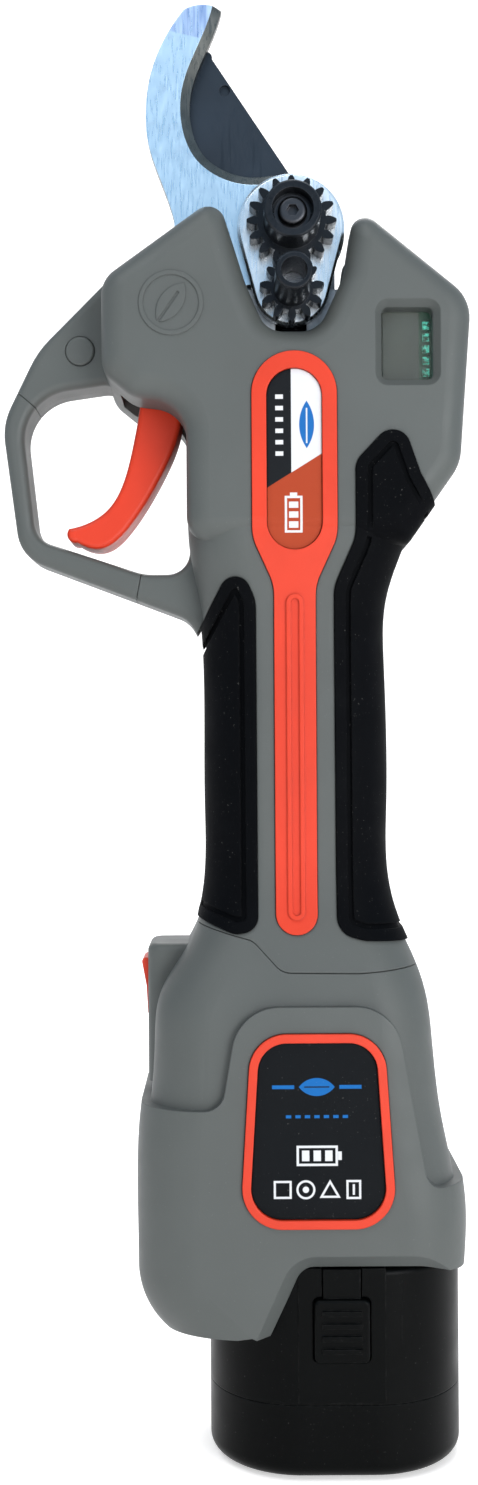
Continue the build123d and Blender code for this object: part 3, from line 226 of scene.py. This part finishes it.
def glass(name):
    m = Mat(name)
    m.bsdf.inputs["Base Color"].default_value = srgb(120, 128, 122)
    smudge = m.ramp(m.noise(220, 5), 0.4, 0.7, 0.06, 0.16)
    m.link(smudge, m.bsdf.inputs["Alpha"])
    m.link(m.ramp(m.noise(300, 4), 0.3, 0.7, 0.10, 0.25), m.bsdf.inputs["Roughness"])
    m.link(m.bump(m.noise(800, 3), 0.1, 0.01 * MM), m.bsdf.inputs["Normal"])
    m.bsdf.inputs["Specular IOR Level"].default_value = 0.25
    return m.mat


class Print:
    """Flat printed shapes on a front face. All places and sizes are in millimetres."""

    def __init__(self, m, base):
        self.m = m
        self.colour = base
        self.x, self.y, self.z = m.place()

    def away(self, socket, centre):
        return self.m.math("ABSOLUTE", self.m.math("SUBTRACT", socket, centre))

    def paint(self, distance, colour, line=0.0):
        if line:
            distance = self.m.math("SUBTRACT", self.m.math("ABSOLUTE", distance), line)
        self.colour = self.m.mix(self.m.ramp(distance, 0.05, -0.05), self.colour, colour)

    def box(self, x, z, half_x, half_z, colour, line=0.0):
        across = self.m.math("SUBTRACT", self.away(self.x, x), half_x)
        up = self.m.math("SUBTRACT", self.away(self.z, z), half_z)
        self.paint(self.m.math("MAXIMUM", across, up), colour, line)

    def reach(self, x, z):
        across = self.m.math("POWER", self.away(self.x, x), 2.0)
        up = self.m.math("POWER", self.away(self.z, z), 2.0)
        return self.m.math("SQRT", self.m.math("ADD", across, up))

    def disc(self, x, z, radius, colour, line=0.0):
        self.paint(self.m.math("SUBTRACT", self.reach(x, z), radius), colour, line)

    def triangle(self, x, z, inner, colour, line=0.0):
        down = self.m.math("SUBTRACT", z, self.z)
        side = self.m.math("SUBTRACT", self.m.math("MULTIPLY", self.away(self.x, x), 0.866),
                           self.m.math("MULTIPLY", down, 0.5))
        self.paint(self.m.math("SUBTRACT", self.m.math("MAXIMUM", down, side), inner), colour, line)

    def leaf(self, x, z, half_length, half_width, colour, upright=False):
        radius = (half_length ** 2 + half_width ** 2) / (2 * half_width)
        shift = radius - half_width
        if upright:
            both = self.m.math("MAXIMUM", self.reach(x - shift, z), self.reach(x + shift, z))
        else:
            both = self.m.math("MAXIMUM", self.reach(x, z - shift), self.reach(x, z + shift))
        self.paint(self.m.math("SUBTRACT", both, radius), colour)

    def slope(self, height, fall, colour):
        """Everything below a straight line through (0, height) that rises by fall per millimetre of X."""
        line = self.m.math("ADD", self.m.math("MULTIPLY", self.x, fall), height)
        self.paint(self.m.math("SUBTRACT", self.z, line), colour)


WHITE, BLUE = srgb(196, 199, 203), srgb(22, 92, 158)


def plate_artwork(m, base):
    """Black and white halves over an orange foot, a leaf, a scale and a charge symbol."""
    art = Print(m, base)
    art.box(3.9, 205.0, 4.5, 30.0, WHITE)
    art.leaf(2.4, 203.2, 4.6, 1.45, BLUE, upright=True)
    art.box(2.4, 203.0, 0.14, 3.4, WHITE)
    for i in range(6):
        art.box(SCALE_X, 197.6 + 2.2 * i, 0.75, 0.42, WHITE)
    art.slope(194.3, 0.62, srgb(150, 58, 32))
    art.box(CHARGE_X, 185.9, 1.5, 3.3, WHITE, 0.22)
    art.box(CHARGE_X, 189.7, 0.7, 0.35, WHITE)
    for i in range(3):
        art.box(CHARGE_X, 183.9 + 1.9 * i, 0.9, 0.6, WHITE)
    return art.colour


def label_artwork(m, base):
    """Leaf between two bars, a dotted line, a charge symbol and a row of outlined shapes."""
    x = LABEL_X
    art = Print(m, base)
    art.leaf(x, 76.2, 3.4, 1.7, BLUE)
    art.box(x, 76.2, 2.4, 0.12, srgb(22, 24, 28))
    for side in (-1, 1):
        art.box(x + 6.4 * side, 76.2, 2.1, 0.35, BLUE)
    for i in range(7):
        art.box(x - 5.4 + 1.8 * i, 70.6, 0.5, 0.28, BLUE)
    art.box(x, 63.2, 3.7, 1.7, WHITE, 0.22)
    art.box(x + 4.3, 63.2, 0.35, 0.8, WHITE)
    for i in range(3):
        art.box(x - 2.2 + 2.2 * i, 63.2, 0.7, 1.0, WHITE)
    art.box(x - 6.6, 56.8, 1.5, 1.5, WHITE, 0.2)
    art.disc(x - 2.2, 56.8, 1.6, WHITE, 0.2)
    art.disc(x - 2.2, 56.8, 0.6, WHITE)
    art.triangle(x + 2.4, 56.4, 0.95, WHITE, 0.2)
    art.box(x + 6.9, 56.8, 1.2, 1.6, WHITE, 0.2)
    art.box(x + 6.9, 56.8, 0.2, 1.0, WHITE)
    return art.colour


def display_artwork(m, base):
    """Dark olive display glass over the left of the display board."""
    x, y, z = m.place()
    across = m.ramp(x, DISPLAY_RIGHT, DISPLAY_RIGHT - 0.08)
    panel = m.math("MULTIPLY", across, m.ramp(z, DISPLAY_FOOT, DISPLAY_FOOT + 0.1))
    shade = m.ramp(m.noise(70, 3), 0.3, 0.7)
    return m.mix(panel, base, m.mix(shade, srgb(40, 43, 37), srgb(54, 57, 50)))


def display_glow_and_glints(m):
    """The small parts beside the display shine teal: emission standing for lit LEDs, broken into speckles
    that paint glints.
    """
    x, y, z = m.place()
    glow_and_glint_mask = m.math("MULTIPLY", m.ramp(x, 24.9, 25.1), m.ramp(z, DISPLAY_FOOT, DISPLAY_FOOT + 0.1))
    glow_and_glint_mask = m.math("MULTIPLY", glow_and_glint_mask, m.ramp(y, BOARD_FACE, BOARD_FACE - 0.1))
    # Painted glints: the teal emission is broken into speckles.
    glow_and_glint_mask = m.math("MULTIPLY", glow_and_glint_mask, m.ramp(m.noise(1400, 2), 0.42, 0.6))
    m.bsdf.inputs["Emission Color"].default_value = (0.10, 0.80, 0.60, 1)
    m.link(m.math("MULTIPLY", glow_and_glint_mask, 0.7), m.bsdf.inputs["Emission Strength"])


MATERIALS = {
    "shell_grey": plastic("shell_grey", srgb(75, 79, 78), 0.5, mottling=0.04, wear_and_sheen=0.18,
                          specular=0.3, dust=0.05),
    "rubber_black": plastic("rubber_black", srgb(4, 5, 7), 0.65, grain=3500, grain_depth=0.06, wear_and_sheen=0.2,
                            specular=0.04, dust=0.10),
    "orange_plastic": plastic("orange_plastic", srgb(192, 50, 24), 0.42, grain=1200,
                              grain_depth=0.015, wear_and_sheen=0.2, specular=0.3),
    "label_black": plastic("label_black", srgb(9, 12, 15), 0.5, grain=5200, grain_depth=0.04, wear_and_sheen=0.0,
                           specular=0.08, dust=0.10, artwork=label_artwork),
    "plate_print": plastic("plate_print", srgb(14, 16, 19), 0.45, grain=4200, grain_depth=0.02, wear_and_sheen=0.0,
                           specular=0.12, artwork=plate_artwork),
    # black_plastic: the high edge setting paints highlights along the latch ridges as lighter edges, on
    # top of edge wear.
    "black_plastic": plastic("black_plastic", srgb(3, 4, 4), 0.36, grain=2400, grain_depth=0.02, wear_and_sheen=0.6,
                             specular=0.06, dust=0.05),
    "clear_window": glass("clear_window"),
    "circuit_board": plastic("circuit_board", srgb(22, 74, 50), 0.4,
                             artwork=display_artwork, glow=display_glow_and_glints),
    # blade_steel: the pale blue tint of the base and stain colours paints part of the blue sky reflection
    # on the steel.
    "blade_steel": metal("blade_steel", (0.52, 0.66, 0.76), 0.30, brush=(1, 1, 0.1),
                         brush_scale=2600, turn=12, brush_depth=0.004,
                         stain=srgb(172, 190, 206), scratch=0.25, blotch=0.05, artwork=blade_zones),
    "coated_blade": metal("coated_blade", srgb(29, 39, 49), 0.45, brush=(1, 1, 0.3), metallic=0.55,
                          blotch=0.14, wear_and_sheen=0.15, turn=30, brush_scale=1500, scratch=0.25),
    "gear_steel": metal("gear_steel", srgb(30, 33, 37), 0.34, metallic=0.8, blotch=0.25, wear_and_sheen=0.3,
                        brush=(1, 1, 1), brush_scale=1800),
    "plate_steel": metal("plate_steel", (0.80, 0.83, 0.85), 0.28, brush=(1, 1, 0.1),
                         brush_scale=1800, turn=-25, stain=srgb(150, 156, 160), scratch=0.6),
    "screw_steel": metal("screw_steel", srgb(60, 61, 64), 0.38),
    "cast_aluminium": metal("cast_aluminium", srgb(168, 170, 172), 0.5, brush=(1, 1, 1), brush_scale=1500),
    "bearing_steel": metal("bearing_steel", srgb(170, 172, 176), 0.28),
    "motor_steel": metal("motor_steel", srgb(150, 152, 156), 0.35),
    "magnet": plastic("magnet", srgb(60, 60, 62), 0.55),
    "copper": metal("copper", srgb(184, 98, 56), 0.35, brush=(1, 1, 20)),
    "contact_brass": metal("contact_brass", srgb(202, 170, 98), 0.3),
    "wire_red": plastic("wire_red", srgb(160, 28, 24), 0.45),
    "cell_wrap": plastic("cell_wrap", srgb(40, 110, 130), 0.35),
}
for entry in frame["record"]["subparts"]:
    obj = NODES[entry["node"]]
    obj.data.materials.clear()
    obj.data.materials.append(MATERIALS[entry["material_slot"]])


# ---------------------------------------------------------------- studio
def backdrop():
    """Pale floor that sweeps up into a wall behind the tool."""
    mesh = bpy.data.meshes.new("studio_sweep")
    bm = bmesh.new()
    profile = [(FLOOR_FRONT, FLOOR_Z), (WALL_START, FLOOR_Z)]
    for i in range(1, SWEEP_STEPS + 1):
        angle = math.radians(90 * i / SWEEP_STEPS)
        profile.append((WALL_START + SWEEP_RADIUS * math.sin(angle), SWEEP_RADIUS * (1 - math.cos(angle))))
    profile.append((WALL_START + SWEEP_RADIUS, WALL_TOP))
    rows = [[bm.verts.new((x, y, z)) for x in (-HALF_WIDTH, HALF_WIDTH)] for y, z in profile]
    for low, high in zip(rows, rows[1:]):
        bm.faces.new((low[0], low[1], high[1], high[0]))
    bm.to_mesh(mesh)
    bm.free()
    mesh.polygons.foreach_set("use_smooth", [True] * len(mesh.polygons))
    sweep = bpy.data.objects.new("studio_sweep", mesh)
    bpy.context.scene.collection.objects.link(sweep)
    paper = plastic("paper", srgb(246, 246, 247), 0.9, edge=0.1, wear_and_sheen=0, mottling=0.004)
    shader = paper.node_tree.nodes["Principled BSDF"]
    shader.inputs["Emission Color"].default_value = (1, 1, 1, 1)
    shader.inputs["Emission Strength"].default_value = 0.45
    sweep.data.materials.append(paper)


def area_light(name, location, target, size, power, colour=(1, 1, 1)):
    light = bpy.data.lights.new(name, "AREA")
    light.shape = "DISK"
    light.size = size
    light.energy = power
    light.color = colour
    obj = bpy.data.objects.new(name, light)
    obj.location = location
    obj.rotation_euler = (Vector(target) - Vector(location)).to_track_quat("-Z", "Y").to_euler()
    bpy.context.scene.collection.objects.link(obj)


def world():
    """White sky, pale blue where it is seen in a reflection."""
    w = bpy.data.worlds.new("studio")
    bpy.context.scene.world = w
    w.use_nodes = True
    tree = w.node_tree
    path = tree.nodes.new("ShaderNodeLightPath")
    mix = tree.nodes.new("ShaderNodeMix")
    mix.data_type = "RGBA"
    mix.inputs[6].default_value = (0.55, 0.55, 0.55, 1)
    mix.inputs[7].default_value = (0.50, 0.70, 0.92, 1)
    tree.links.new(path.outputs["Is Glossy Ray"], mix.inputs[0])
    tree.links.new(mix.outputs[2], tree.nodes["Background"].inputs["Color"])


def camera():
    data = bpy.data.cameras.new("camera")
    data.sensor_fit = "VERTICAL"
    data.angle_y = CAMERA_ANGLE
    data.shift_x = CAMERA_SHIFT
    data.clip_start = 0.01
    obj = bpy.data.objects.new("camera", data)
    obj.location = CAMERA_PLACE
    obj.rotation_euler = (math.radians(90), CAMERA_ROLL, 0)
    bpy.context.scene.collection.objects.link(obj)
    bpy.context.scene.camera = obj


backdrop()
world()
area_light("key", (0.45, -0.80, 0.16), (0, 0, 0.10), 0.5, 6)
area_light("top", (-0.20, -0.55, 0.95), (0, 0, 0.2), 0.6, 3.8)
area_light("rim", (0.1, 0.7, 0.9), (0, 0, 0.15), 0.6, 5)
camera()
bpy.context.scene.view_settings.view_transform = "Standard"
